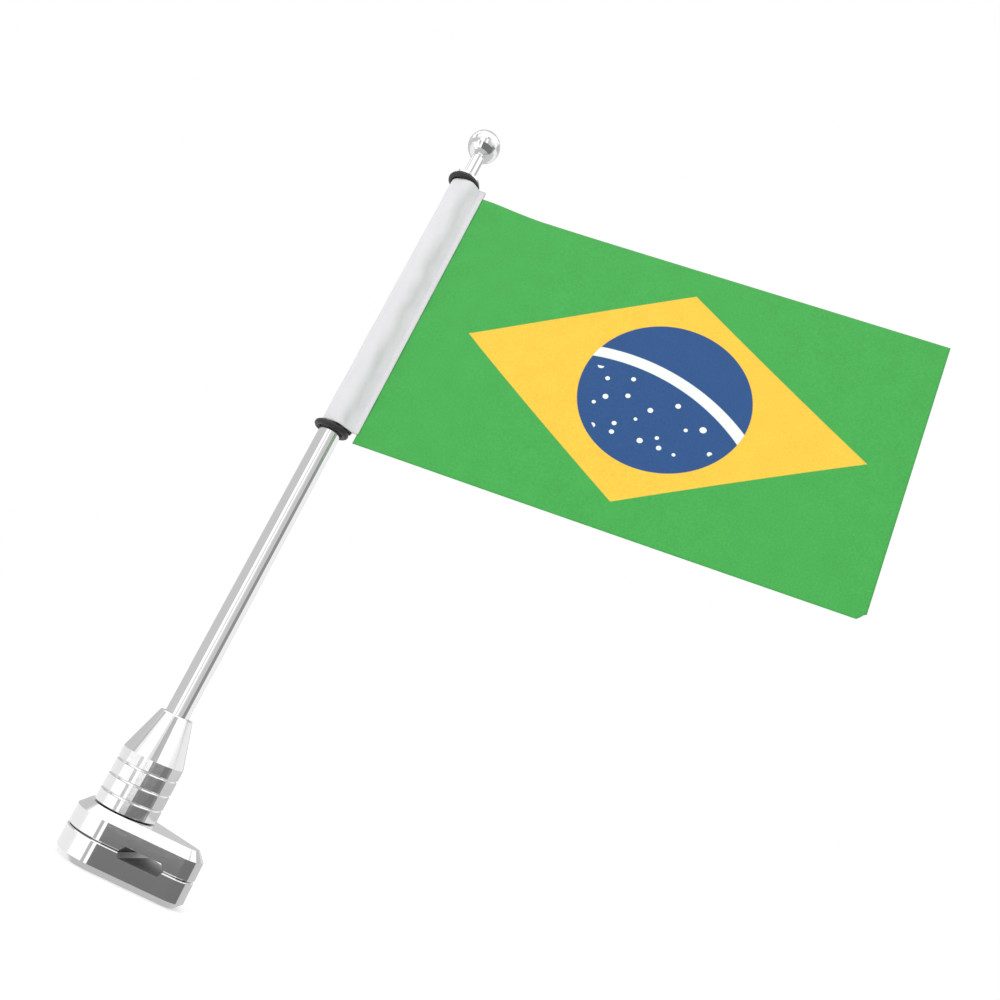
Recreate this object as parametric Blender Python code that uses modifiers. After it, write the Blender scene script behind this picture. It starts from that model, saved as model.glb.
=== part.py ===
"""Clamp-on flagpole for a luggage rack: a two-piece billet clamp, a turned pole socket,
a plated tube with a ball finial, and a small printed flag held between two O-rings.

Frame: metres, +Z up along the pole. The origin is the centre of the seat for the rack bar,
on the floor of the lower clamp half. The bar runs along Y, and the flag flies towards +X.
"""

import math

import bmesh
import bpy
from mathutils import Matrix

MM = 0.001

# Clearances
GAP = 0.3 * MM                    # between faces that touch on the real object
RADIAL_GAP = 0.3 * MM             # between a shaft or plug and its hole

# Rack bar slot
SLOT_WIDTH = 17.4 * MM            # at the seam, along X
SLOT_DEPTH_LOWER = 2.1 * MM
SLOT_DEPTH_UPPER = 2.5 * MM
SLOT_TAPER_LOWER = 1.1 * MM       # how far each side leans in at the floor
SLOT_TAPER_UPPER = 1.9 * MM       # and at the ceiling
SLOT_TO_POLE = 20.5 * MM

# Clamp block: a teardrop in plan, round under the pole and narrower at the nose
BLOCK_HEIGHT = 21.2 * MM
HEAD_RADIUS = 17.3 * MM
NOSE_RADIUS = 7.3 * MM
HEAD_TO_NOSE = 31.0 * MM
TOP_CHAMFER = 3.3 * MM
BOTTOM_CHAMFER = 2.5 * MM
SEAM_CHAMFER = 0.45 * MM
SEAM_HEIGHT = 10.6 * MM           # above the underside

# Screws
POLE_SCREW_RADIUS = 3.0 * MM
POLE_SCREW_HEAD_RADIUS = 5.0 * MM
POLE_SCREW_HEAD_HEIGHT = 6.0 * MM
POLE_SCREW_REACH = 9.8 * MM       # into the socket
NOSE_SCREW_RADIUS = 2.0 * MM
NOSE_SCREW_HEAD_RADIUS = 3.35 * MM
NOSE_SCREW_HEAD_HEIGHT = 4.0 * MM
NOSE_SCREW_REACH = 7.6 * MM       # into the upper half
NOSE_SCREW_INSET = 6.4 * MM       # from the tip of the nose
HEAD_RECESS = 0.3 * MM            # how far the heads sit above the underside

# Pole socket: a grooved collar under a cone
SOCKET_RADIUS = 12.7 * MM
SOCKET_TOP_RADIUS = 7.0 * MM
SOCKET_COLLAR_HEIGHT = 21.5 * MM
SOCKET_CONE_HEIGHT = 18.1 * MM
SOCKET_EDGE = 0.5 * MM
SOCKET_BORE_DEPTH = 20.5 * MM
GROOVE_COUNT = 3
GROOVE_PITCH = 5.9 * MM
GROOVE_FROM_CONE = 4.7 * MM       # cone's base to the middle of the first groove
GROOVE_RADIUS = 0.55 * MM

# Pole
POLE_RADIUS = 5.0 * MM
POLE_WALL = 1.0 * MM
POLE_LENGTH = 300.0 * MM
STUD_TO_SCREW = 3.0 * MM          # between the plug's stud and the pole screw's tip
LOWER_PLUG_LENGTH = 13.5 * MM
UPPER_PLUG_LENGTH = 10.0 * MM

# Finial
FINIAL_STUD_RADIUS = 2.0 * MM
FINIAL_STUD_DEPTH = 8.0 * MM      # in the pole
FINIAL_STUD_SOCKET = 7.0 * MM     # in the finial
FLANGE_RADIUS = 7.2 * MM
FLANGE_HEIGHT = 2.6 * MM
FLANGE_RIM = 0.7 * MM
STEM_RADIUS = 3.15 * MM
BALL_RADIUS = 8.1 * MM
BALL_HEIGHT = 22.6 * MM           # flange's underside to the ball's centre

# O-rings
RING_SECTION_RADIUS = 1.45 * MM

# Flag and sleeve
SLEEVE_LENGTH = 139.0 * MM
FLAG_HEIGHT = 137.6 * MM          # at the hoist
FLAG_LENGTH = 218.0 * MM          # from the sleeve to the fly edge
FLAG_THICKNESS = 0.5 * MM
FLAG_DROP = 4.6 * MM              # of the hoist's foot below the sleeve's
FLY_RISE = 5.0 * MM               # of the lower fly corner
FLY_DROP = 7.6 * MM               # of the upper fly corner
SLEEVE_CLOTH = 0.7 * MM
SLEEVE_REACH = 9.0 * MM           # pole's axis to the start of the sewn strip
STRIP_WIDTH = 3.7 * MM
STRIP_THICKNESS = 1.2 * MM

# Facets
ROUND_STEPS = 64
SMALL_STEPS = 32
ARC_STEPS = 10

# Places worked out from the sizes above
SEAM_Z = SLOT_DEPTH_LOWER
UNDERSIDE_Z = SEAM_Z - SEAM_HEIGHT
BLOCK_TOP_Z = UNDERSIDE_Z + BLOCK_HEIGHT
LOWER_TOP_Z = SEAM_Z - GAP / 2
UPPER_BOTTOM_Z = SEAM_Z + GAP / 2
POLE_X = -SLOT_TO_POLE
NOSE_X = POLE_X + HEAD_TO_NOSE
NOSE_SCREW_X = NOSE_X + NOSE_RADIUS - NOSE_SCREW_INSET
SOCKET_Z = BLOCK_TOP_Z + GAP
CONE_Z = SOCKET_Z + SOCKET_COLLAR_HEIGHT
SOCKET_TOP_Z = CONE_Z + SOCKET_CONE_HEIGHT
BORE_FLOOR_Z = SOCKET_TOP_Z - SOCKET_BORE_DEPTH
POLE_Z = BORE_FLOOR_Z + GAP
POLE_SCREW_TIP_Z = SOCKET_Z + POLE_SCREW_REACH
NOSE_SCREW_TIP_Z = UPPER_BOTTOM_Z + NOSE_SCREW_REACH
POLE_TOP_Z = POLE_Z + POLE_LENGTH
FLANGE_Z = POLE_TOP_Z + GAP
BALL_Z = FLANGE_Z + BALL_HEIGHT
RING_RADIUS = POLE_RADIUS + RADIAL_GAP + RING_SECTION_RADIUS
UPPER_RING_Z = FLANGE_Z - GAP - RING_SECTION_RADIUS
SLEEVE_TOP_Z = UPPER_RING_Z - RING_SECTION_RADIUS - GAP
SLEEVE_Z = SLEEVE_TOP_Z - SLEEVE_LENGTH
LOWER_RING_Z = SLEEVE_Z - GAP - RING_SECTION_RADIUS
HOIST_X = POLE_X + SLEEVE_REACH + STRIP_WIDTH + GAP


def clear_scene():
    for old in list(bpy.data.objects):
        bpy.data.objects.remove(old, do_unlink=True)


def new_collection(name):
    made = bpy.data.collections.new(name)
    bpy.context.scene.collection.children.link(made)
    return made


def new_material(name, colour, roughness, metallic):
    made = bpy.data.materials.new(name)
    made.use_nodes = True
    shader = made.node_tree.nodes["Principled BSDF"]
    shader.inputs["Base Color"].default_value = (*colour, 1.0)
    shader.inputs["Roughness"].default_value = roughness
    shader.inputs["Metallic"].default_value = metallic
    return made


def add_object(name, mesh, collection, material=None, location=(0, 0, 0)):
    made = bpy.data.objects.new(name, mesh)
    made.location = location
    collection.objects.link(made)
    if material is not None:
        mesh.materials.append(material)
    return made


def make_cutter(cutter):
    cutter.hide_render = True
    cutter.display_type = "WIRE"


def cut(target, cutter):
    modifier = target.modifiers.new("cut_" + cutter.name, "BOOLEAN")
    modifier.operation = "DIFFERENCE"
    modifier.solver = "EXACT"
    modifier.object = cutter


def smooth(mesh, angle=35.0):
    mesh.shade_smooth()
    mesh.set_sharp_from_angle(angle=math.radians(angle))


def arc(centre, radius, start, end, steps):
    """Points (x, y) on an arc, angles in degrees, both ends included."""
    points = []
    for i in range(steps + 1):
        a = math.radians(start + (end - start) * i / steps)
        points.append((centre[0] + radius * math.cos(a), centre[1] + radius * math.sin(a)))
    return points


def turned(name, profile, collection, material, x, steps=ROUND_STEPS):
    """A ring or disc turned about the vertical axis at x. The profile is a closed loop of
    (radius, z), which runs down its outer side; it may start and end on the axis."""
    mesh = bpy.data.meshes.new(name)
    open_ends = profile[0][0] == 0 and profile[-1][0] == 0
    count = len(profile)
    edges = [(i, i + 1) for i in range(count - 1)]
    if not open_ends:
        edges.append((count - 1, 0))
    mesh.from_pydata([(r, 0, z) for r, z in profile], edges, [])
    made = add_object(name, mesh, collection, material, (x, 0, 0))
    screw = made.modifiers.new("turn", "SCREW")
    screw.axis = "Z"
    screw.angle = math.tau
    screw.steps = steps
    screw.render_steps = steps
    screw.use_merge_vertices = True
    screw.merge_threshold = 0.01 * MM
    screw.use_smooth_shade = True
    screw.use_normal_calculate = False
    return made


def extruded(name, outlines, z0, z1, collection, material=None, location=(0, 0, 0)):
    """A flat outline, with any inner outlines as holes, filled and raised from z0 to z1."""
    curve = bpy.data.curves.new(name + "_outline", "CURVE")
    curve.dimensions = "2D"
    curve.fill_mode = "BOTH"
    curve.extrude = (z1 - z0) / 2
    for outline in outlines:
        spline = curve.splines.new("POLY")
        spline.points.add(len(outline) - 1)
        for point, (x, y) in zip(spline.points, outline):
            point.co = (x, y, 0, 1)
        spline.use_cyclic_u = True
    flat = bpy.data.objects.new(name + "_outline", curve)
    flat.location = (0, 0, (z0 + z1) / 2)
    collection.objects.link(flat)
    bpy.context.view_layer.update()
    graph = bpy.context.evaluated_depsgraph_get()
    mesh = bpy.data.meshes.new_from_object(flat.evaluated_get(graph))
    mesh.transform(flat.matrix_world)
    bpy.data.objects.remove(flat, do_unlink=True)
    mesh.name = name
    body = bmesh.new()
    body.from_mesh(mesh)
    bmesh.ops.remove_doubles(body, verts=body.verts, dist=0.001 * MM)
    bmesh.ops.recalc_face_normals(body, faces=body.faces)
    body.to_mesh(mesh)
    body.free()
    mesh.materials.clear()
    return add_object(name, mesh, collection, material, location)


def cylinder(name, radius, z0, z1, x, collection, steps=SMALL_STEPS):
    """An upright cylinder, used as a drill."""
    mesh = bpy.data.meshes.new(name)
    body = bmesh.new()
    bmesh.ops.create_cone(body, cap_ends=True, segments=steps, radius1=radius,
                          radius2=radius, depth=z1 - z0,
                          matrix=Matrix.Translation((x, 0, (z0 + z1) / 2)))
    body.to_mesh(mesh)
    body.free()
    return add_object(name, mesh, collection)


def teardrop():
    """The block's plan: a big arc under the pole and a small one round the nose."""
    lean = math.degrees(math.asin((HEAD_RADIUS - NOSE_RADIUS) / HEAD_TO_NOSE))
    side = 90.0 - lean
    head = arc((POLE_X, 0), HEAD_RADIUS, side, 360.0 - side, ROUND_STEPS - 12)
    nose = arc((NOSE_X, 0), NOSE_RADIUS, -side, side, 2 * ARC_STEPS)
    return head + nose


def chamfer_rim(made, z, width):
    """A flat bevel round the rim at height z."""
    body = bmesh.new()
    body.from_mesh(made.data)
    bmesh.ops.dissolve_limit(body, angle_limit=math.radians(0.5), verts=body.verts,
                             edges=body.edges)
    rim = [edge for edge in body.edges
           if max(abs(vert.co.z - z) for vert in edge.verts) < 0.001 * MM]
    bmesh.ops.bevel(body, geom=rim, offset=width, offset_type="OFFSET", segments=1,
                    profile=0.5, affect="EDGES", clamp_overlap=False)
    bmesh.ops.recalc_face_normals(body, faces=body.faces)
    body.to_mesh(made.data)
    body.free()


def slot_cutter(cutters, name, depth, taper, up):
    """Half of the slot for the rack bar: a long trapezium, widest at the seam."""
    half = SLOT_WIDTH / 2
    past_seam = GAP
    reach = 2.5 * HEAD_RADIUS
    sign = 1 if up else -1
    lean = taper / depth * past_seam
    section = [(-half - lean, -past_seam), (half + lean, -past_seam),
               (half - taper, depth), (-half + taper, depth)]
    mesh = bpy.data.meshes.new(name)
    body = bmesh.new()
    corners = [body.verts.new((x, -reach / 2, SEAM_Z + sign * h)) for x, h in section]
    face = body.faces.new(corners)
    long = bmesh.ops.extrude_face_region(body, geom=[face])
    moved = [v for v in long["geom"] if isinstance(v, bmesh.types.BMVert)]
    bmesh.ops.translate(body, verts=moved, vec=(0, reach, 0))
    bmesh.ops.recalc_face_normals(body, faces=body.faces)
    body.to_mesh(mesh)
    body.free()
    made = add_object(name, mesh, cutters)
    make_cutter(made)
    return made


def screw_holes(target, cutters, label, holes):
    """Drills target with (radius, bottom, top, x) holes."""
    for i, (radius, bottom, top, x) in enumerate(holes):
        drill = cylinder(f"{label}_drill_{i + 1}", radius, bottom, top, x, cutters)
        make_cutter(drill)
        cut(target, drill)


def lower_clamp_half(parts, cutters, aluminium):
    made = extruded("lower_clamp_half", [teardrop()], UNDERSIDE_Z, LOWER_TOP_Z, parts,
                    aluminium)
    chamfer_rim(made, UNDERSIDE_Z, BOTTOM_CHAMFER)
    chamfer_rim(made, LOWER_TOP_Z, SEAM_CHAMFER)
    cut(made, slot_cutter(cutters, "slot_lower", SLOT_DEPTH_LOWER, SLOT_TAPER_LOWER, False))
    below = UNDERSIDE_Z - GAP
    above = LOWER_TOP_Z + GAP
    pole_seat = UNDERSIDE_Z + HEAD_RECESS + POLE_SCREW_HEAD_HEIGHT + GAP
    nose_seat = UNDERSIDE_Z + HEAD_RECESS + NOSE_SCREW_HEAD_HEIGHT + GAP
    screw_holes(made, cutters, "lower", [
        (POLE_SCREW_RADIUS + RADIAL_GAP, below, above, POLE_X),
        (POLE_SCREW_HEAD_RADIUS + RADIAL_GAP, below, pole_seat, POLE_X),
        (NOSE_SCREW_RADIUS + RADIAL_GAP, below, above, NOSE_SCREW_X),
        (NOSE_SCREW_HEAD_RADIUS + RADIAL_GAP, below, nose_seat, NOSE_SCREW_X),
    ])
    return made


def upper_clamp_half(parts, cutters, aluminium):
    made = extruded("upper_clamp_half", [teardrop()], UPPER_BOTTOM_Z, BLOCK_TOP_Z, parts,
                    aluminium)
    chamfer_rim(made, BLOCK_TOP_Z, TOP_CHAMFER)
    chamfer_rim(made, UPPER_BOTTOM_Z, SEAM_CHAMFER)
    cut(made, slot_cutter(cutters, "slot_upper", SLOT_DEPTH_UPPER, SLOT_TAPER_UPPER, True))
    below = UPPER_BOTTOM_Z - GAP
    screw_holes(made, cutters, "upper", [
        (POLE_SCREW_RADIUS + RADIAL_GAP, below, BLOCK_TOP_Z + GAP, POLE_X),
        (NOSE_SCREW_RADIUS + RADIAL_GAP, below, NOSE_SCREW_TIP_Z + GAP, NOSE_SCREW_X),
    ])
    return made


def cap_screw(name, parts, cutters, steel, x, radius, head_radius, head_height, tip):
    """A socket-head cap screw that points up from the underside."""
    foot = UNDERSIDE_Z + HEAD_RECESS
    neck = foot + head_height
    edge = 0.12 * head_radius
    profile = [(0, tip), (radius - edge, tip), (radius, tip - edge), (radius, neck),
               (head_radius, neck), (head_radius, foot + edge), (head_radius - edge, foot),
               (0, foot)]
    made = turned(name, profile, parts, steel, x, SMALL_STEPS)
    key = bpy.data.meshes.new(name + "_key")
    body = bmesh.new()
    bmesh.ops.create_cone(body, cap_ends=True, segments=6, radius1=0.48 * head_radius,
                          radius2=0.48 * head_radius, depth=head_height,
                          matrix=Matrix.Translation((x, 0, foot)))
    body.to_mesh(key)
    body.free()
    hexagon = add_object(name + "_key", key, cutters)
    make_cutter(hexagon)
    cut(made, hexagon)
    return made


def groove(z):
    """A round-bottomed groove in the collar, from its top edge down."""
    steps = 4
    points = []
    for i in range(steps + 1):
        a = math.pi * i / steps
        points.append((SOCKET_RADIUS - GROOVE_RADIUS * math.sin(a),
                       z + GROOVE_RADIUS * math.cos(a)))
    return points


def pole_socket(parts, aluminium):
    bore = POLE_RADIUS + RADIAL_GAP
    hole = POLE_SCREW_RADIUS + RADIAL_GAP
    lean = math.atan2(SOCKET_RADIUS - SOCKET_TOP_RADIUS, SOCKET_CONE_HEIGHT)
    crown = SOCKET_EDGE * (1 - math.sin(lean))
    profile = [(SOCKET_TOP_RADIUS - crown, SOCKET_TOP_Z),
               (SOCKET_TOP_RADIUS + SOCKET_EDGE * math.sin(lean) * 0.3,
                SOCKET_TOP_Z - SOCKET_EDGE),
               (SOCKET_RADIUS, CONE_Z)]
    for i in range(GROOVE_COUNT):
        profile += groove(CONE_Z - GROOVE_FROM_CONE - i * GROOVE_PITCH)
    profile += [(SOCKET_RADIUS, SOCKET_Z + SOCKET_EDGE / 2),
                (SOCKET_RADIUS - SOCKET_EDGE / 2, SOCKET_Z),
                (hole, SOCKET_Z), (hole, BORE_FLOOR_Z), (bore, BORE_FLOOR_Z),
                (bore, SOCKET_TOP_Z)]
    return turned("pole_socket", profile, parts, aluminium, POLE_X)


def pole_tube(parts, chrome):
    inner = POLE_RADIUS - POLE_WALL
    profile = [(POLE_RADIUS, POLE_TOP_Z), (POLE_RADIUS, POLE_Z), (inner, POLE_Z),
               (inner, POLE_TOP_Z)]
    return turned("pole_tube", profile, parts, chrome, POLE_X)


def lower_pole_plug(parts, steel):
    """The plug pressed into the foot of the tube, with the stud that screws into the socket."""
    plug = POLE_RADIUS - POLE_WALL - RADIAL_GAP
    stud = POLE_SCREW_RADIUS
    foot = POLE_Z
    tip = POLE_SCREW_TIP_Z + STUD_TO_SCREW
    profile = [(0, foot + LOWER_PLUG_LENGTH), (plug, foot + LOWER_PLUG_LENGTH),
               (plug, foot), (stud, foot), (stud, tip), (0, tip)]
    return turned("lower_pole_plug", profile, parts, steel, POLE_X, SMALL_STEPS)


def upper_pole_plug(parts, steel):
    """The tapped bush pressed into the top of the tube."""
    outer = POLE_RADIUS - POLE_WALL - RADIAL_GAP
    inner = FINIAL_STUD_RADIUS + RADIAL_GAP
    foot = POLE_TOP_Z - UPPER_PLUG_LENGTH
    profile = [(outer, POLE_TOP_Z), (outer, foot), (inner, foot), (inner, POLE_TOP_Z)]
    return turned("upper_pole_plug", profile, parts, steel, POLE_X, SMALL_STEPS)


def finial_stud(parts, steel):
    top = FLANGE_Z + FINIAL_STUD_SOCKET - GAP
    foot = FLANGE_Z - FINIAL_STUD_DEPTH
    profile = [(0, top), (FINIAL_STUD_RADIUS, top), (FINIAL_STUD_RADIUS, foot), (0, foot)]
    return turned("finial_stud", profile, parts, steel, POLE_X, SMALL_STEPS)


def ball_finial(parts, chrome):
    """Ball, stem and domed flange in one turning, bored from below for its stud."""
    bore = FINIAL_STUD_RADIUS + RADIAL_GAP
    join = math.degrees(math.acos(STEM_RADIUS / BALL_RADIUS))
    ball = arc((0, BALL_Z), BALL_RADIUS, 90.0, -join, 2 * ARC_STEPS)
    profile = [(0.0, ball[0][1])] + ball[1:]
    fillet = FLANGE_HEIGHT * 0.45
    shoulder = FLANGE_Z + FLANGE_HEIGHT
    foot = arc((STEM_RADIUS + fillet, shoulder + fillet * 0.4), fillet, 180.0, 240.0, 3)
    profile += foot
    steps = 5
    start = foot[-1]
    for i in range(1, steps + 1):
        a = math.radians(90.0 * i / steps)
        profile.append((start[0] + (FLANGE_RADIUS - start[0]) * math.sin(a),
                        FLANGE_Z + FLANGE_RIM + (start[1] - FLANGE_Z - FLANGE_RIM) * math.cos(a)))
    profile += [(FLANGE_RADIUS, FLANGE_Z), (bore, FLANGE_Z),
                (bore, FLANGE_Z + FINIAL_STUD_SOCKET), (0.0, FLANGE_Z + FINIAL_STUD_SOCKET)]
    return turned("ball_finial", profile, parts, chrome, POLE_X, 48)


def o_ring(name, z, parts, rubber):
    points = arc((RING_RADIUS, 0), RING_SECTION_RADIUS, 90.0, -270.0 + 30.0, 11)
    made = turned(name, points, parts, rubber, POLE_X, 48)
    made.location.z = z
    return made


def loop_with_tail(radius, reach, tail_end, tail_half, steps):
    """A loop round the pole, drawn out to a flat tail towards +X; a tail_half of 0 ends
    it in a point at reach."""
    turn = math.degrees(math.acos(radius / reach)) if reach > radius else 0.0
    points = arc((0, 0), radius, turn, 360.0 - turn, steps)
    if tail_half:
        points += [(reach, -tail_half), (tail_end, -tail_half), (tail_end, tail_half),
                   (reach, tail_half)]
    else:
        points.append((reach, 0))
    return points


def flag_sleeve(parts, satin):
    """The pocket that slips over the pole, closed by the strip that is sewn to the flag."""
    inner = POLE_RADIUS + RADIAL_GAP
    outer = inner + SLEEVE_CLOTH
    outlines = [loop_with_tail(outer, SLEEVE_REACH, SLEEVE_REACH + STRIP_WIDTH,
                               STRIP_THICKNESS / 2, 40),
                loop_with_tail(inner, SLEEVE_REACH - 2 * SLEEVE_CLOTH, 0, 0, 40)]
    return extruded("flag_sleeve", outlines, SLEEVE_Z, SLEEVE_TOP_Z, parts, satin,
                    (POLE_X, 0, 0))


def flag_cloth(parts, cloth):
    """The printed panel: a thin flat sheet that tapers a little towards its fly edge."""
    foot = SLEEVE_Z - FLAG_DROP
    top = foot + FLAG_HEIGHT
    half = FLAG_THICKNESS / 2
    start = HOIST_X - POLE_X
    outline = [(start, foot), (start + FLAG_LENGTH, foot + FLY_RISE),
               (start + FLAG_LENGTH, top - FLY_DROP), (start, top)]
    mesh = bpy.data.meshes.new("flag_cloth")
    body = bmesh.new()
    face = body.faces.new([body.verts.new((x, -half, z)) for x, z in outline])
    raised = bmesh.ops.extrude_face_region(body, geom=[face])
    moved = [v for v in raised["geom"] if isinstance(v, bmesh.types.BMVert)]
    bmesh.ops.translate(body, verts=moved, vec=(0, 2 * half, 0))
    bmesh.ops.recalc_face_normals(body, faces=body.faces)
    body.to_mesh(mesh)
    body.free()
    return add_object("flag_cloth", mesh, parts, cloth)


def flag_pivot(parts, pieces):
    """The flag's pieces hang from an empty on the pole's axis, which they turn about."""
    pivot = bpy.data.objects.new("flag_pivot", None)
    pivot.location = (POLE_X, 0, 0)
    parts.objects.link(pivot)
    for piece in pieces:
        if piece.name == "flag_sleeve":
            piece.location = (0, 0, 0)
        piece.parent = pivot


def build():
    clear_scene()
    parts = new_collection("rack_flagpole")
    cutters = new_collection("cutters")
    aluminium = new_material("satin_aluminium", (0.80, 0.80, 0.81), 0.25, 1.0)
    chrome = new_material("chrome_plate", (0.85, 0.85, 0.86), 0.06, 1.0)
    steel = new_material("screw_steel", (0.42, 0.42, 0.43), 0.35, 1.0)
    rubber = new_material("black_rubber", (0.02, 0.02, 0.02), 0.6, 0.0)
    satin = new_material("white_satin", (0.85, 0.85, 0.86), 0.5, 0.0)
    cloth = new_material("printed_polyester", (0.08, 0.45, 0.10), 0.7, 0.0)
    lower_clamp_half(parts, cutters, aluminium)
    upper_clamp_half(parts, cutters, aluminium)
    cap_screw("pole_screw", parts, cutters, steel, POLE_X, POLE_SCREW_RADIUS,
              POLE_SCREW_HEAD_RADIUS, POLE_SCREW_HEAD_HEIGHT, POLE_SCREW_TIP_Z)
    cap_screw("nose_screw", parts, cutters, steel, NOSE_SCREW_X, NOSE_SCREW_RADIUS,
              NOSE_SCREW_HEAD_RADIUS, NOSE_SCREW_HEAD_HEIGHT, NOSE_SCREW_TIP_Z)
    pole_socket(parts, aluminium)
    pole_tube(parts, chrome)
    lower_pole_plug(parts, steel)
    upper_pole_plug(parts, steel)
    finial_stud(parts, steel)
    ball_finial(parts, chrome)
    o_ring("lower_o_ring", LOWER_RING_Z, parts, rubber)
    o_ring("upper_o_ring", UPPER_RING_Z, parts, rubber)
    flag_pivot(parts, [flag_sleeve(parts, satin), flag_cloth(parts, cloth)])


build()
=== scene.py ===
"""Looks for the rack flagpole: materials, the cloth, and threads, built round the frame."""

import math

import bpy
from mathutils import Euler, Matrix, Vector


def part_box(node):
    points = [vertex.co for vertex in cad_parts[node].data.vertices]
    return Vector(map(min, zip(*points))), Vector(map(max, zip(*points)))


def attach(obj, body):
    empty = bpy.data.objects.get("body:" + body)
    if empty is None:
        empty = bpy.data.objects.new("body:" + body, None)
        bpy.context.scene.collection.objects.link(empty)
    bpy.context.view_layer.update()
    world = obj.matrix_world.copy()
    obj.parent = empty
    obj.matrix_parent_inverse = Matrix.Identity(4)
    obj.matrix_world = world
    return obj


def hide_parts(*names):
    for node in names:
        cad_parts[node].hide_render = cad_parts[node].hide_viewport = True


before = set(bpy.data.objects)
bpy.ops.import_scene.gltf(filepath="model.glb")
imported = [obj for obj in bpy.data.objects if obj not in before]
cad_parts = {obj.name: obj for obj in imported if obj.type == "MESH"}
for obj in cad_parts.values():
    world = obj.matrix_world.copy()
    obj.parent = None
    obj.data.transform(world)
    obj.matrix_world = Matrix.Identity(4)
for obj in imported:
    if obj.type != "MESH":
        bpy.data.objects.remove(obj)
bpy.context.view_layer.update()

MM = 0.001


def node_box(name):
    low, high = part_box(name)
    return Vector(low), Vector(high)


POLE_LOW, POLE_HIGH = node_box("pole_tube")
POLE_X = (POLE_LOW.x + POLE_HIGH.x) / 2
POLE_RADIUS = (POLE_HIGH.x - POLE_LOW.x) / 2
FLAG_LOW, FLAG_HIGH = node_box("flag_cloth")
SLEEVE_LOW, SLEEVE_HIGH = node_box("flag_sleeve")
FLOOR_Z = node_box("lower_clamp_half")[0].z
FLOOR_REACH = 20

# The panel: its fly edge is shorter than its hoist, as in the frame
FLY_RISE = 5.0 * MM
FLY_DROP = 7.6 * MM
HOIST_LIP = 2.0 * MM           # the top corner by the sleeve is drawn up
FLY_CLIP = 3.0 * MM            # the lower fly corner is snipped
CLOTH = 0.3 * MM
LAP = 0.9 * MM                 # how far the panel is tucked into the sleeve's strip
RIPPLE_DEPTH = 0.35 * MM       # the small puckers along the hoist
SWAY_DEPTH = 0.5 * MM          # the long, slack wave over the rest

# The sleeve: a loop round the pole, closed into a flat strip beside the panel
SLEEVE_EASE = 0.75 * MM        # the loop's air round the pole
SLEEVE_BULGE = 2.1 * MM        # more of it on the strip's side
SLEEVE_GAP_ANGLE = 28          # degrees each side of the strip where the loop begins
SLEEVE_STEPS = 44
STRIP_STEPS = 5
STRIP_WIDTH = 4.0 * MM
STRIP_HALF = 0.45 * MM         # the strip's middle to each of its two layers
CRUMPLE_DEPTH = 0.16 * MM
FOLD_DEPTH = 0.42 * MM         # the sharper folds pulled towards the strip

# The stitching: one row on each face of the strip
STITCH_PITCH = 2.6 * MM
STITCH_HALF = 0.95 * MM
STITCH_INSET = 1.9 * MM        # from the strip's outer edge
STITCH_OUT = 0.60 * MM         # from the strip's middle
STITCH_WIDE = 0.15 * MM
STITCH_DEEP = 0.13 * MM

# The slot, as the frame has it
SLOT_REACH = 8.8 * MM          # to each side of its middle, with a little spare
SLOT_RISE = 4.6 * MM
SLOT_SPARE = 0.05 * MM

# The print, in panel heights from the panel's middle
RHOMBUS_SHIFT = 0.033         # towards the fly
RHOMBUS_ARM = 0.64
RHOMBUS_RISE = 0.40
DISC_SHIFT = 0.06
DISC_RADIUS = 0.267
# The band, in disc radii from the disc's middle
BAND_ACROSS = -0.57
BAND_BELOW = -2.0
BAND_INNER = 2.29
BAND_OUTER = 2.43
STAR_CELLS = 13.5             # to a panel height

GREEN = (0.055, 0.385, 0.072)
YELLOW = (0.90, 0.56, 0.054)
BLUE = (0.020, 0.080, 0.237)
WHITE = (0.84, 0.89, 0.84)


# Materials -----------------------------------------------------------------------------

def material(name, colour, roughness, metallic=0.0):
    made = bpy.data.materials.new(name)
    made.use_nodes = True
    shader = made.node_tree.nodes["Principled BSDF"]
    shader.inputs["Base Color"].default_value = (*colour, 1.0)
    shader.inputs["Roughness"].default_value = roughness
    shader.inputs["Metallic"].default_value = metallic
    return made, made.node_tree, shader


def add(tree, kind, **inputs):
    node = tree.nodes.new(kind)
    for key, value in inputs.items():
        node.inputs[key.replace("_", " ")].default_value = value
    return node


def math_node(tree, operation, a, b=None):
    node = tree.nodes.new("ShaderNodeMath")
    node.operation = operation
    for i, value in enumerate((a, b)):
        if value is None:
            continue
        if isinstance(value, (int, float)):
            node.inputs[i].default_value = value
        else:
            tree.links.new(value, node.inputs[i])
    return node.outputs[0]


def mix_colour(tree, factor, a, b):
    node = tree.nodes.new("ShaderNodeMix")
    node.data_type = "RGBA"
    if isinstance(factor, (int, float)):
        node.inputs[0].default_value = factor
    else:
        tree.links.new(factor, node.inputs[0])
    for socket, value in ((node.inputs[6], a), (node.inputs[7], b)):
        if isinstance(value, tuple):
            socket.default_value = (*value, 1.0)
        else:
            tree.links.new(value, socket)
    return node.outputs[2]


def object_coords(tree, scale=(1, 1, 1)):
    coords = tree.nodes.new("ShaderNodeTexCoord")
    mapping = tree.nodes.new("ShaderNodeMapping")
    mapping.inputs["Scale"].default_value = scale
    tree.links.new(coords.outputs["Object"], mapping.inputs["Vector"])
    return mapping.outputs["Vector"]


def noise(tree, vector, scale, detail=2.0, roughness=0.5):
    node = add(tree, "ShaderNodeTexNoise", Scale=scale, Detail=detail, Roughness=roughness)
    tree.links.new(vector, node.inputs["Vector"])
    return node.outputs["Fac"]


def map_range(tree, value, low, high, to_low, to_high):
    node = add(tree, "ShaderNodeMapRange", From_Min=low, From_Max=high, To_Min=to_low,
               To_Max=to_high)
    tree.links.new(value, node.inputs["Value"])
    return node.outputs["Result"]


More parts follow.
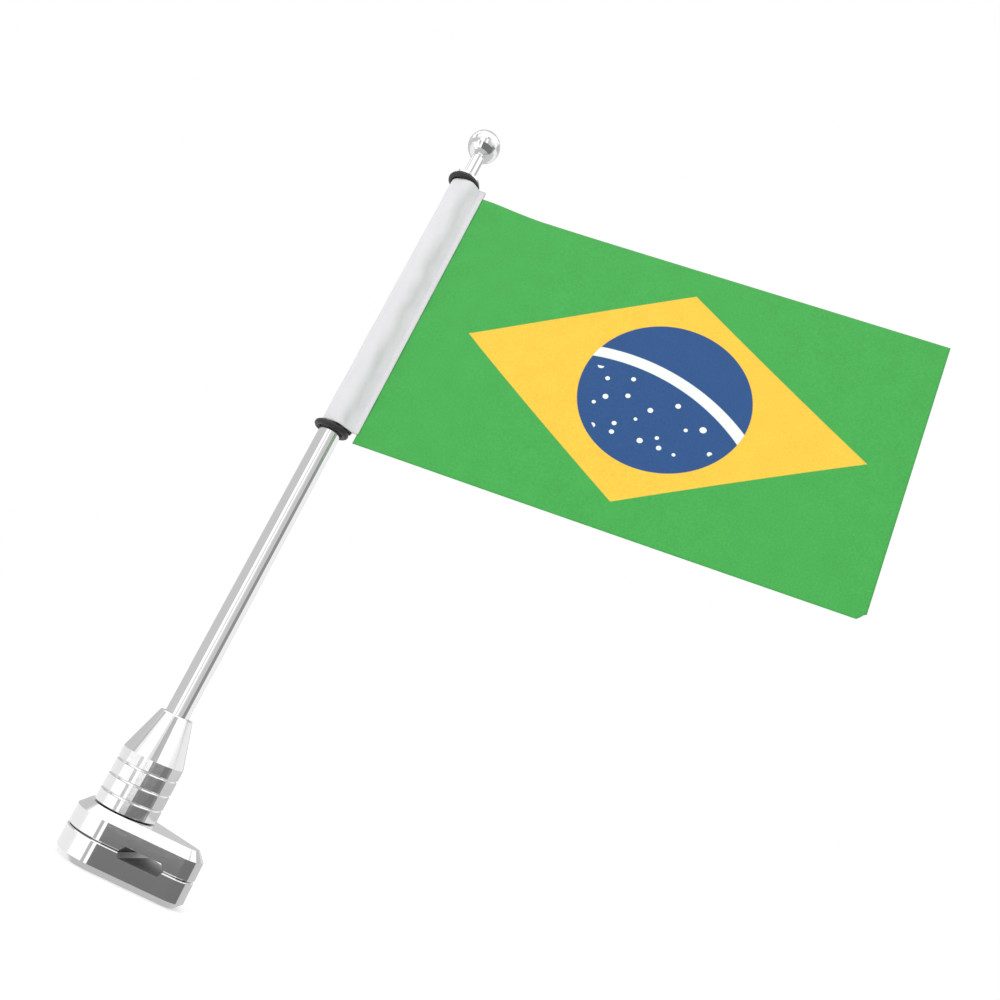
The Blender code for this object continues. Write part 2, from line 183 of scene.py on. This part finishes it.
def bump(tree, shader, height, distance, strength=1.0):
    node = add(tree, "ShaderNodeBump", Strength=strength, Distance=distance)
    tree.links.new(height, node.inputs["Height"])
    tree.links.new(node.outputs["Normal"], shader.inputs["Normal"])


def turned_aluminium():
    """Bright satin aluminium with the fine rings that a lathe tool leaves."""
    made, tree, shader = material("turned_aluminium", (0.83, 0.83, 0.835), 0.13, 1.0)
    rings = noise(tree, object_coords(tree, (20, 20, 9000)), 1.0, 3.0, 0.6)
    grain = noise(tree, object_coords(tree, (2500, 2500, 900)), 1.0, 2.0)
    tree.links.new(map_range(tree, grain, 0.3, 0.7, 0.10, 0.17), shader.inputs["Roughness"])
    bump(tree, shader, rings, 0.004 * MM)
    return made


def milled_aluminium():
    """The same metal with the faint, even lay of a milled block."""
    made, tree, shader = material("milled_aluminium", (0.83, 0.83, 0.835), 0.07, 1.0)
    lay = noise(tree, object_coords(tree, (260, 260, 5200)), 1.0, 3.0, 0.6)
    grain = noise(tree, object_coords(tree, (3200, 3200, 3200)), 1.0, 2.0)
    tree.links.new(map_range(tree, grain, 0.3, 0.7, 0.05, 0.09), shader.inputs["Roughness"])
    both = math_node(tree, "ADD", lay, math_node(tree, "MULTIPLY", grain, 0.5))
    bump(tree, shader, both, 0.004 * MM)
    return made


def plated(name, roughness):
    """Mirror plating, with faint draw lines along the tube and light smears."""
    made, tree, shader = material(name, (0.86, 0.86, 0.87), roughness, 1.0)
    smear = noise(tree, object_coords(tree, (220, 220, 40)), 1.0, 3.0)
    tree.links.new(map_range(tree, smear, 0.35, 0.75, roughness, roughness + 0.05),
                   shader.inputs["Roughness"])
    lines = noise(tree, object_coords(tree, (2600, 2600, 25)), 1.0, 2.0)
    bump(tree, shader, lines, 0.0012 * MM)
    return made


def screw_steel():
    """Zinc-plated steel, slightly mottled."""
    made, tree, shader = material("screw_steel", (0.46, 0.46, 0.47), 0.32, 1.0)
    mottle = noise(tree, object_coords(tree, (900, 900, 900)), 1.0, 3.0)
    colour = mix_colour(tree, mottle, (0.40, 0.40, 0.41), (0.52, 0.52, 0.53))
    tree.links.new(colour, shader.inputs["Base Color"])
    tree.links.new(map_range(tree, mottle, 0.3, 0.7, 0.25, 0.4), shader.inputs["Roughness"])
    bump(tree, shader, mottle, 0.01 * MM)
    return made


def black_rubber():
    """Moulded O-ring rubber with a light bloom."""
    made, tree, shader = material("black_rubber", (0.014, 0.014, 0.015), 0.42)
    bloom = noise(tree, object_coords(tree, (700, 700, 700)), 1.0, 4.0)
    colour = mix_colour(tree, bloom, (0.010, 0.010, 0.011), (0.024, 0.024, 0.025))
    tree.links.new(colour, shader.inputs["Base Color"])
    tree.links.new(map_range(tree, bloom, 0.3, 0.7, 0.36, 0.52), shader.inputs["Roughness"])
    bump(tree, shader, bloom, 0.02 * MM)
    return made


def weave(tree, pitch):
    """A plain weave's height in the X and Z directions, from 0 to 1."""
    coords = tree.nodes.new("ShaderNodeTexCoord")
    split = tree.nodes.new("ShaderNodeSeparateXYZ")
    tree.links.new(coords.outputs["Object"], split.inputs[0])
    turn = math.tau / pitch
    across = math_node(tree, "SINE", math_node(tree, "MULTIPLY", split.outputs["X"], turn))
    along = math_node(tree, "SINE", math_node(tree, "MULTIPLY", split.outputs["Z"], turn))
    crossed = math_node(tree, "MULTIPLY", across, along)
    return map_range(tree, crossed, -1.0, 1.0, 0.0, 1.0)


def white_satin():
    """The sleeve's white satin: fine threads and a soft sheen."""
    made, tree, shader = material("white_satin", (0.66, 0.66, 0.67), 0.42)
    tone = noise(tree, object_coords(tree, (160, 160, 60)), 1.0, 3.0)
    colour = mix_colour(tree, tone, (0.62, 0.62, 0.635), (0.70, 0.70, 0.71))
    tree.links.new(colour, shader.inputs["Base Color"])
    shader.inputs["Sheen Weight"].default_value = 0.25
    shader.inputs["Sheen Roughness"].default_value = 0.4
    shader.inputs["Specular IOR Level"].default_value = 0.5
    threads = weave(tree, 0.24 * MM)
    crumple = noise(tree, object_coords(tree, (420, 420, 260)), 1.0, 3.0)
    height = math_node(tree, "ADD", math_node(tree, "MULTIPLY", threads, 0.02),
                       math_node(tree, "MULTIPLY", crumple, 0.35))
    bump(tree, shader, height, 0.8 * MM, 0.5)
    return made


def sewing_thread():
    made, tree, shader = material("sewing_thread", (0.80, 0.80, 0.81), 0.6)
    twist = noise(tree, object_coords(tree, (4000, 4000, 4000)), 1.0, 2.0)
    colour = mix_colour(tree, twist, (0.72, 0.72, 0.73), (0.86, 0.86, 0.86))
    tree.links.new(colour, shader.inputs["Base Color"])
    bump(tree, shader, twist, 0.03 * MM)
    return made


def below(tree, value, limit, soft=0.0012):
    """1 where value is under limit, 0 over it, with an edge as soft as printed dye."""
    return map_range(tree, value, limit - soft, limit + soft, 1.0, 0.0)


def distance_from(tree, x, y, across, up):
    """How far (x, y) is from (across, up)."""
    dx = math_node(tree, "SUBTRACT", x, across)
    dy = math_node(tree, "SUBTRACT", y, up)
    square = math_node(tree, "ADD", math_node(tree, "MULTIPLY", dx, dx),
                       math_node(tree, "MULTIPLY", dy, dy))
    return math_node(tree, "SQRT", square)


def print_colour(tree):
    """Green field, yellow rhombus, blue disc with an empty band. The stars are a scatter of
    dots, not placed as on a real flag."""
    where = tree.nodes.new("ShaderNodeUVMap")
    where.uv_map = "panel"
    split = tree.nodes.new("ShaderNodeSeparateXYZ")
    tree.links.new(where.outputs[0], split.inputs[0])
    x, y = split.outputs[0], split.outputs[1]
    from_side = math_node(tree, "ABSOLUTE", math_node(tree, "SUBTRACT", x, RHOMBUS_SHIFT))
    slant = math_node(tree, "ADD", math_node(tree, "DIVIDE", from_side, RHOMBUS_ARM),
                      math_node(tree, "DIVIDE", math_node(tree, "ABSOLUTE", y), RHOMBUS_RISE))
    disc = below(tree, distance_from(tree, x, y, DISC_SHIFT, 0.0), DISC_RADIUS)
    reach = distance_from(tree, x, y, DISC_SHIFT + BAND_ACROSS * DISC_RADIUS,
                          BAND_BELOW * DISC_RADIUS)
    inside = below(tree, reach, BAND_INNER * DISC_RADIUS)
    band = math_node(tree, "SUBTRACT", below(tree, reach, BAND_OUTER * DISC_RADIUS), inside)
    cells = add(tree, "ShaderNodeTexVoronoi", Scale=STAR_CELLS, Randomness=0.85)
    cells.voronoi_dimensions = "2D"
    tree.links.new(where.outputs[0], cells.inputs["Vector"])
    chance = tree.nodes.new("ShaderNodeSeparateXYZ")
    tree.links.new(cells.outputs["Color"], chance.inputs[0])
    size = map_range(tree, chance.outputs[0], 0.0, 1.0, 0.07, 0.15)
    spot = math_node(tree, "LESS_THAN", cells.outputs["Distance"], size)
    clear = below(tree, reach, (BAND_INNER - 0.12) * DISC_RADIUS)
    within = below(tree, distance_from(tree, x, y, DISC_SHIFT, 0.0), 0.9 * DISC_RADIUS)
    star = math_node(tree, "MULTIPLY", spot, math_node(tree, "MULTIPLY", clear, within))
    white = math_node(tree, "MAXIMUM", band, star)
    colour = mix_colour(tree, below(tree, slant, 1.0, 0.004), GREEN, YELLOW)
    colour = mix_colour(tree, disc, colour, BLUE)
    return mix_colour(tree, math_node(tree, "MULTIPLY", disc, white), colour, WHITE)


def printed_cloth():
    """Printed polyester: the print, the slight mottle of dye on the weave, a soft sheen."""
    made, tree, shader = material("printed_polyester", (0.1, 0.45, 0.1), 0.62)
    fine = noise(tree, object_coords(tree, (1300, 1300, 1300)), 1.0, 3.0, 0.65)
    broad = noise(tree, object_coords(tree, (90, 90, 90)), 1.0, 4.0)
    mottle = math_node(tree, "ADD", math_node(tree, "MULTIPLY", fine, 0.75),
                       math_node(tree, "MULTIPLY", broad, 0.25))
    darker = tree.nodes.new("ShaderNodeHueSaturation")
    tree.links.new(print_colour(tree), darker.inputs["Color"])
    tree.links.new(map_range(tree, mottle, 0.3, 0.7, 0.86, 1.12), darker.inputs["Value"])
    tree.links.new(darker.outputs["Color"], shader.inputs["Base Color"])
    shader.inputs["Sheen Weight"].default_value = 0.15
    shader.inputs["Sheen Roughness"].default_value = 0.5
    shader.inputs["Specular IOR Level"].default_value = 0.25
    threads = weave(tree, 0.34 * MM)
    height = math_node(tree, "ADD", math_node(tree, "MULTIPLY", threads, 0.05),
                       math_node(tree, "MULTIPLY", fine, 0.10))
    bump(tree, shader, height, 0.6 * MM, 0.6)
    return made


def slot_metal_painted_shade():
    """The inside of the slot: duller, as the end mill left it, and darker, with painted shade
    for the slot's shadowed inside.
    """
    made, tree, shader = material("slot_metal_painted_shade", (0.42, 0.42, 0.425), 0.5, 1.0)
    lay = noise(tree, object_coords(tree, (2200, 90, 2200)), 1.0, 3.0, 0.6)
    # painted shade: the slot's inside gets a darker metal colour, varied at random along the
    # milling lay
    colour = mix_colour(tree, lay, (0.36, 0.36, 0.365), (0.50, 0.50, 0.505))
    tree.links.new(colour, shader.inputs["Base Color"])
    tree.links.new(map_range(tree, lay, 0.3, 0.7, 0.42, 0.6), shader.inputs["Roughness"])
    bump(tree, shader, lay, 0.02 * MM)
    return made


def threaded_steel(name, axis_x, pitch):
    """Screw steel with a rolled thread round an upright axis, with painted shade in the
    thread's grooves and a painted highlight on its crests.
    """
    made, tree, shader = material(name, (0.46, 0.46, 0.47), 0.32, 1.0)
    coords = tree.nodes.new("ShaderNodeTexCoord")
    split = tree.nodes.new("ShaderNodeSeparateXYZ")
    tree.links.new(coords.outputs["Object"], split.inputs[0])
    x, y, z = split.outputs
    round_axis = math_node(tree, "ARCTAN2", y, math_node(tree, "SUBTRACT", x, axis_x))
    climb = math_node(tree, "MULTIPLY", z, math.tau / pitch)
    wave = math_node(tree, "SINE", math_node(tree, "SUBTRACT", climb, round_axis))
    # painted shade and highlight: darker in the thread's grooves, lighter on its crests
    colour = mix_colour(tree, map_range(tree, wave, -1.0, 1.0, 0.0, 1.0), (0.22, 0.22, 0.23),
                        (0.55, 0.55, 0.56))
    tree.links.new(colour, shader.inputs["Base Color"])
    bump(tree, shader, wave, 0.25 * pitch)
    return made


# Meshes --------------------------------------------------------------------------------

def new_piece(name, verts, faces, material_, body):
    mesh = bpy.data.meshes.new(name)
    mesh.from_pydata(verts, [], faces)
    mesh.update()
    made = bpy.data.objects.new(name, mesh)
    bpy.context.scene.collection.objects.link(made)
    mesh.materials.append(material_)
    mesh.shade_smooth()
    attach(made, body)
    return made


def grid_faces(rows, columns):
    return [(r * columns + c, r * columns + c + 1, (r + 1) * columns + c + 1,
             (r + 1) * columns + c)
            for r in range(rows - 1) for c in range(columns - 1)]


def thicken(made, thickness):
    """Gives a sheet its thickness, half to each side."""
    modifier = made.modifiers.new("thickness", "SOLIDIFY")
    modifier.thickness = thickness
    modifier.offset = 0.0
    modifier.use_even_offset = False


def ease(value, low, high):
    """A smooth 0 to 1 step."""
    t = min(1.0, max(0.0, (value - low) / (high - low)))
    return t * t * (3 - 2 * t)


# The flag ------------------------------------------------------------------------------

def flag_panel(cloth):
    """The printed panel, rippled at the hoist, with the print's own coordinates."""
    columns = 221
    rows = 141
    length = FLAG_HIGH.x - FLAG_LOW.x
    height = FLAG_HIGH.z - FLAG_LOW.z
    verts = []
    places = []
    for r in range(rows):
        t = r / (rows - 1)
        for c in range(columns):
            s = c / (columns - 1)
            low = FLAG_LOW.z + FLY_RISE * s + FLY_CLIP * ease(s, 0.985, 1.0)
            high = FLAG_HIGH.z - FLY_DROP * s + HOIST_LIP * (1 - ease(s, 0.0, 0.16))
            x = FLAG_LOW.x - LAP + (length + LAP) * s
            z = low + (high - low) * t
            pucker = (1 - ease(s, 0.0, 0.09)) * ease(s, 0.0, 0.01)
            ripple = RIPPLE_DEPTH * pucker * math.sin(41 * t + 2 * math.sin(9 * t))
            sway = SWAY_DEPTH * math.sin(3.1 * s + 1.2 * t) * ease(s, 0.0, 0.3)
            verts.append((x, ripple + sway, z))
            places.append(((s - 0.5) * length / height, t - 0.5))
    made = new_piece("flag_panel", verts, grid_faces(rows, columns), cloth, "flag")
    layer = made.data.uv_layers.new(name="panel")
    for loop in made.data.loops:
        layer.data[loop.index].uv = places[loop.vertex_index]
    thicken(made, CLOTH)
    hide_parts("flag_cloth")
    return made


def sleeve_section(t):
    """One level of the sleeve, t from 0 at its foot to 1: the cloth's path in plan from
    the strip's camera-side edge, round the pole, to its far edge."""
    snug = POLE_RADIUS + SLEEVE_EASE
    end = SLEEVE_HIGH.x - POLE_X
    join = end - STRIP_WIDTH
    points = []
    for i in range(STRIP_STEPS):
        points.append((end - (end - join) * i / STRIP_STEPS, -STRIP_HALF))
    round_pole = 360 - 2 * SLEEVE_GAP_ANGLE
    for i in range(SLEEVE_STEPS + 1):
        a = math.radians(-SLEEVE_GAP_ANGLE - round_pole * i / SLEEVE_STEPS)
        bulge = ease(math.cos(a), -0.2, 0.9)
        wave = math.sin(5 * a + 17 * t) * math.sin(13 * t + 1.3) + math.sin(3 * a - 29 * t)
        pull = math.sin(52 * t + 2.2 * math.cos(a) + 1.7 * math.sin(11 * t))
        r = snug + bulge * SLEEVE_BULGE + CRUMPLE_DEPTH * wave * (0.35 + bulge)
        r += FOLD_DEPTH * bulge * pull
        points.append((r * math.cos(a), r * math.sin(a)))
    for i in range(STRIP_STEPS):
        points.append((join + (end - join) * (i + 1) / STRIP_STEPS, STRIP_HALF))
    return points


def sleeve_cloth(satin):
    """The white sleeve, one section at each level."""
    rows = 150
    sections = [sleeve_section(r / (rows - 1)) for r in range(rows)]
    columns = len(sections[0])
    verts = []
    for r, section in enumerate(sections):
        t = r / (rows - 1)
        z = SLEEVE_LOW.z + (SLEEVE_HIGH.z - SLEEVE_LOW.z) * t
        for x, y in section:
            verts.append((POLE_X + x, y, z))
    made = new_piece("flag_sleeve_cloth", verts, grid_faces(rows, columns), satin, "flag")
    thicken(made, CLOTH)
    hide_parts("flag_sleeve")
    return made


def stitches(thread):
    """A row of lockstitch down each face of the sleeve's strip."""
    across = SLEEVE_HIGH.x - STITCH_INSET
    verts = []
    faces = []
    z = SLEEVE_LOW.z + STITCH_PITCH
    while z < SLEEVE_HIGH.z - STITCH_PITCH:
        for side in (-1, 1):
            start = len(verts)
            for level, girth in ((-1.0, 0.3), (-0.6, 1.0), (0.6, 1.0), (1.0, 0.3)):
                for i in range(6):
                    a = math.tau * i / 6
                    verts.append((across + STITCH_WIDE * girth * math.cos(a),
                                  side * STITCH_OUT + STITCH_DEEP * girth * math.sin(a),
                                  z + level * STITCH_HALF))
            for level in range(3):
                for i in range(6):
                    j = (i + 1) % 6
                    a, b = start + 6 * level, start + 6 * (level + 1)
                    faces.append((a + i, a + j, b + j, b + i))
            faces.append(tuple(start + i for i in reversed(range(6))))
            faces.append(tuple(start + 18 + i for i in range(6)))
        z += STITCH_PITCH
    return new_piece("sleeve_stitches", verts, faces, thread, "flag")


# Metal ---------------------------------------------------------------------------------

def dress(node, material_, angle=32.0):
    """Gives a CAD node its material and smooth shading between its sharp edges."""
    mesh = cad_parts[node].data
    mesh.materials.clear()
    mesh.materials.append(material_)
    mesh.shade_smooth()
    mesh.set_sharp_from_angle(angle=math.radians(angle))


def recoat(node, material_, wanted):
    """Gives the faces that wanted(centre, normal) picks out a second material."""
    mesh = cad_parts[node].data
    mesh.materials.append(material_)
    for face in mesh.polygons:
        if wanted(face.center, face.normal):
            face.material_index = len(mesh.materials) - 1


def in_slot(centre, normal):
    """Faces inside the slot, whose floor is at Z 0, but not the block's own sides."""
    return (abs(centre.x) < SLOT_REACH and -SLOT_SPARE < centre.z < SLOT_RISE + SLOT_SPARE
            and abs(normal.y) < 0.5)


def thread_on(node, radius, pitch):
    """Gives a screw's or stud's shank its thread, round the node's own axis."""
    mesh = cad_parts[node].data
    across = [vert.co.x for vert in mesh.vertices]
    axis_x = (min(across) + max(across)) / 2
    steel = threaded_steel("thread_" + node, axis_x, pitch)
    recoat(node, steel, lambda centre, normal: abs(normal.z) < 0.2 and math.hypot(
        centre.x - axis_x, centre.y) < radius + 0.1 * MM)


# Scene ---------------------------------------------------------------------------------

# What the metal mirrors: white cards, with grey ones between
CARD = 1.0
PALE = 0.76
LIGHT_GREY = 0.50
GREY = 0.42
MID_GREY = 0.24
DARK_GREY = 0.15
UNDER_GREY = (0.45, 0.45, 0.45)
CARD_STRENGTH = 1.3
RAMP_SOFT = 0.003              # half of the blend between two cards, in turns

# Each ring of cards as (bearing, level). Bearings run in degrees from -Y round through +X.
BLOCK_RING = ((0, CARD), (4, DARK_GREY), (106, LIGHT_GREY), (206, PALE), (300, CARD),
              (343, GREY), (353, CARD))
COLLAR_RING = ((0, CARD), (30, DARK_GREY), (108, LIGHT_GREY), (206, PALE), (300, CARD),
               (343, GREY), (355, CARD))
POLE_RING = ((0, CARD), (9, LIGHT_GREY), (14, CARD), (35, LIGHT_GREY), (76, MID_GREY),
             (106, PALE), (180, LIGHT_GREY), (344, CARD))
HIGH_RING = ((0, CARD), (12, GREY), (42, CARD), (110, GREY), (150, LIGHT_GREY),
             (262, CARD), (290, GREY), (310, CARD))
TOP_RING = ((0, CARD), (150, LIGHT_GREY), (262, CARD))

# The rings above the lowest, each with the heights on the unit sphere where it blends in
RINGS_ABOVE = ((COLLAR_RING, -0.150, -0.144), (POLE_RING, -0.095, -0.075),
               (HIGH_RING, 0.32, 0.42), (TOP_RING, 0.7, 0.8))


def ramp(tree, factor, stops):
    """Grey levels by bearing, each held until the next with a short blend between them."""
    node = tree.nodes.new("ShaderNodeValToRGB")
    tree.links.new(factor, node.inputs[0])
    elements = node.color_ramp.elements
    keys = []
    for i, (degrees, level) in enumerate(stops):
        start = degrees / 360.0
        if i == 0:
            keys.append((0.0, level))
        else:
            keys.append((start - RAMP_SOFT, stops[i - 1][1]))
            keys.append((start + RAMP_SOFT, level))
    elements[0].position = keys[0][0]
    elements[0].color = (keys[0][1],) * 3 + (1,)
    elements[1].position = keys[1][0]
    elements[1].color = (keys[1][1],) * 3 + (1,)
    for position, level in keys[2:]:
        element = elements.new(position)
        element.color = (level,) * 3 + (1,)
    return node.outputs["Color"]


def studio_world():
    """White for the camera, softly one-sided for matt surfaces, and for glossy ones a ring
    of white and grey cards that changes with height."""
    world = bpy.data.worlds.new("studio")
    bpy.context.scene.world = world
    world.use_nodes = True
    world.cycles.sampling_method = "NONE"
    tree = world.node_tree
    background = tree.nodes["Background"]
    coords = tree.nodes.new("ShaderNodeTexCoord")
    split = tree.nodes.new("ShaderNodeSeparateXYZ")
    tree.links.new(coords.outputs["Generated"], split.inputs[0])
    x, y, z = split.outputs
    turn = math_node(tree, "ARCTAN2", x, math_node(tree, "MULTIPLY", y, -1.0))
    angle = math_node(tree, "FRACT", math_node(tree, "ADD",
                      math_node(tree, "DIVIDE", turn, math.tau), 1.0))
    studio = ramp(tree, angle, BLOCK_RING)
    for ring, low, high in RINGS_ABOVE:
        studio = mix_colour(tree, map_range(tree, z, low, high, 0, 1), studio,
                            ramp(tree, angle, ring))
    studio = mix_colour(tree, map_range(tree, z, -0.8, -0.7, 1, 0), studio, UNDER_GREY)
    cards = math_node(tree, "MULTIPLY", studio, CARD_STRENGTH)
    side = math_node(tree, "ADD", math_node(tree, "MULTIPLY", x, -0.65),
                     math_node(tree, "MULTIPLY", y, -0.5))
    side = math_node(tree, "ADD", side, math_node(tree, "MULTIPLY", z, 0.55))
    soft = map_range(tree, side, -1.0, 1.0, 0.55, 1.2)
    path = tree.nodes.new("ShaderNodeLightPath")
    seen = mix_colour(tree, path.outputs["Is Glossy Ray"], soft, cards)
    seen = mix_colour(tree, path.outputs["Is Camera Ray"], seen, (1.0, 1.0, 1.0))
    tree.links.new(seen, background.inputs["Color"])


def soft_light(name, location, target, size, power):
    data = bpy.data.lights.new(name, "AREA")
    data.shape = "SQUARE"
    data.size = size
    data.energy = power
    light = bpy.data.objects.new(name, data)
    bpy.context.scene.collection.objects.link(light)
    light.location = location
    aim = Vector(target) - Vector(location)
    light.rotation_euler = aim.to_track_quat("-Z", "Y").to_euler()
    light.visible_glossy = False


def floor():
    """A plain pale floor, which the metal's mirror surfaces don't show."""
    made, tree, shader = material("pale_floor", (0.80, 0.80, 0.80), 0.9)
    shader.inputs["Specular IOR Level"].default_value = 0.0
    shader.inputs["Emission Color"].default_value = (1, 1, 1, 1)
    shader.inputs["Emission Strength"].default_value = 0.34
    mesh = bpy.data.meshes.new("floor")
    mesh.from_pydata([(x * FLOOR_REACH, y * FLOOR_REACH, FLOOR_Z)
                      for x, y in ((-1, -1), (1, -1), (1, 1), (-1, 1))],
                     [], [(0, 1, 2, 3)])
    plane = bpy.data.objects.new("floor", mesh)
    bpy.context.scene.collection.objects.link(plane)
    mesh.materials.append(made)
    plane.visible_glossy = False


# The camera, fitted to the block's and the flag's outlines
CAMERA_PLACE = (0.15058, -0.34858, 0.07268)
CAMERA_TURN = (108.585, -24.469, 8.846)
CAMERA_LENS = 32.4
CAMERA_SHIFT = (0.04, -0.01)


def camera():
    data = bpy.data.cameras.new("camera")
    data.sensor_width = 36.0
    data.lens = CAMERA_LENS
    data.shift_x, data.shift_y = CAMERA_SHIFT
    data.clip_start = 0.01
    made = bpy.data.objects.new("camera", data)
    bpy.context.scene.collection.objects.link(made)
    made.location = CAMERA_PLACE
    made.rotation_euler = Euler([math.radians(a) for a in CAMERA_TURN])
    bpy.context.scene.camera = made


def build():
    turned = turned_aluminium()
    milled = milled_aluminium()
    steel = screw_steel()
    rubber = black_rubber()
    # the slot's metal, its colour darkened with painted shade
    slot_painted_shade_metal = slot_metal_painted_shade()
    for node in ("lower_clamp_half", "upper_clamp_half"):
        dress(node, milled)
        recoat(node, slot_painted_shade_metal, in_slot)
    dress("pole_socket", turned, 20.0)
    dress("pole_tube", plated("plated_tube", 0.06))
    dress("ball_finial", plated("plated_ball", 0.03))
    for node in ("pole_screw", "nose_screw", "lower_pole_plug", "upper_pole_plug",
                 "finial_stud"):
        dress(node, steel)
    thread_on("pole_screw", 3.0 * MM, 1.0 * MM)
    thread_on("nose_screw", 2.0 * MM, 0.7 * MM)
    thread_on("lower_pole_plug", 3.0 * MM, 1.0 * MM)
    thread_on("finial_stud", 2.0 * MM, 0.7 * MM)
    for node in ("lower_o_ring", "upper_o_ring"):
        dress(node, rubber, 60.0)
    sleeve_cloth(white_satin())
    stitches(sewing_thread())
    flag_panel(printed_cloth())
    camera()
    studio_world()
    soft_light("key", (-0.5, -0.9, 0.9), (0.05, 0, 0.2), 0.8, 2.0)
    floor()
    scene = bpy.context.scene
    scene.view_settings.view_transform = "Standard"


build()
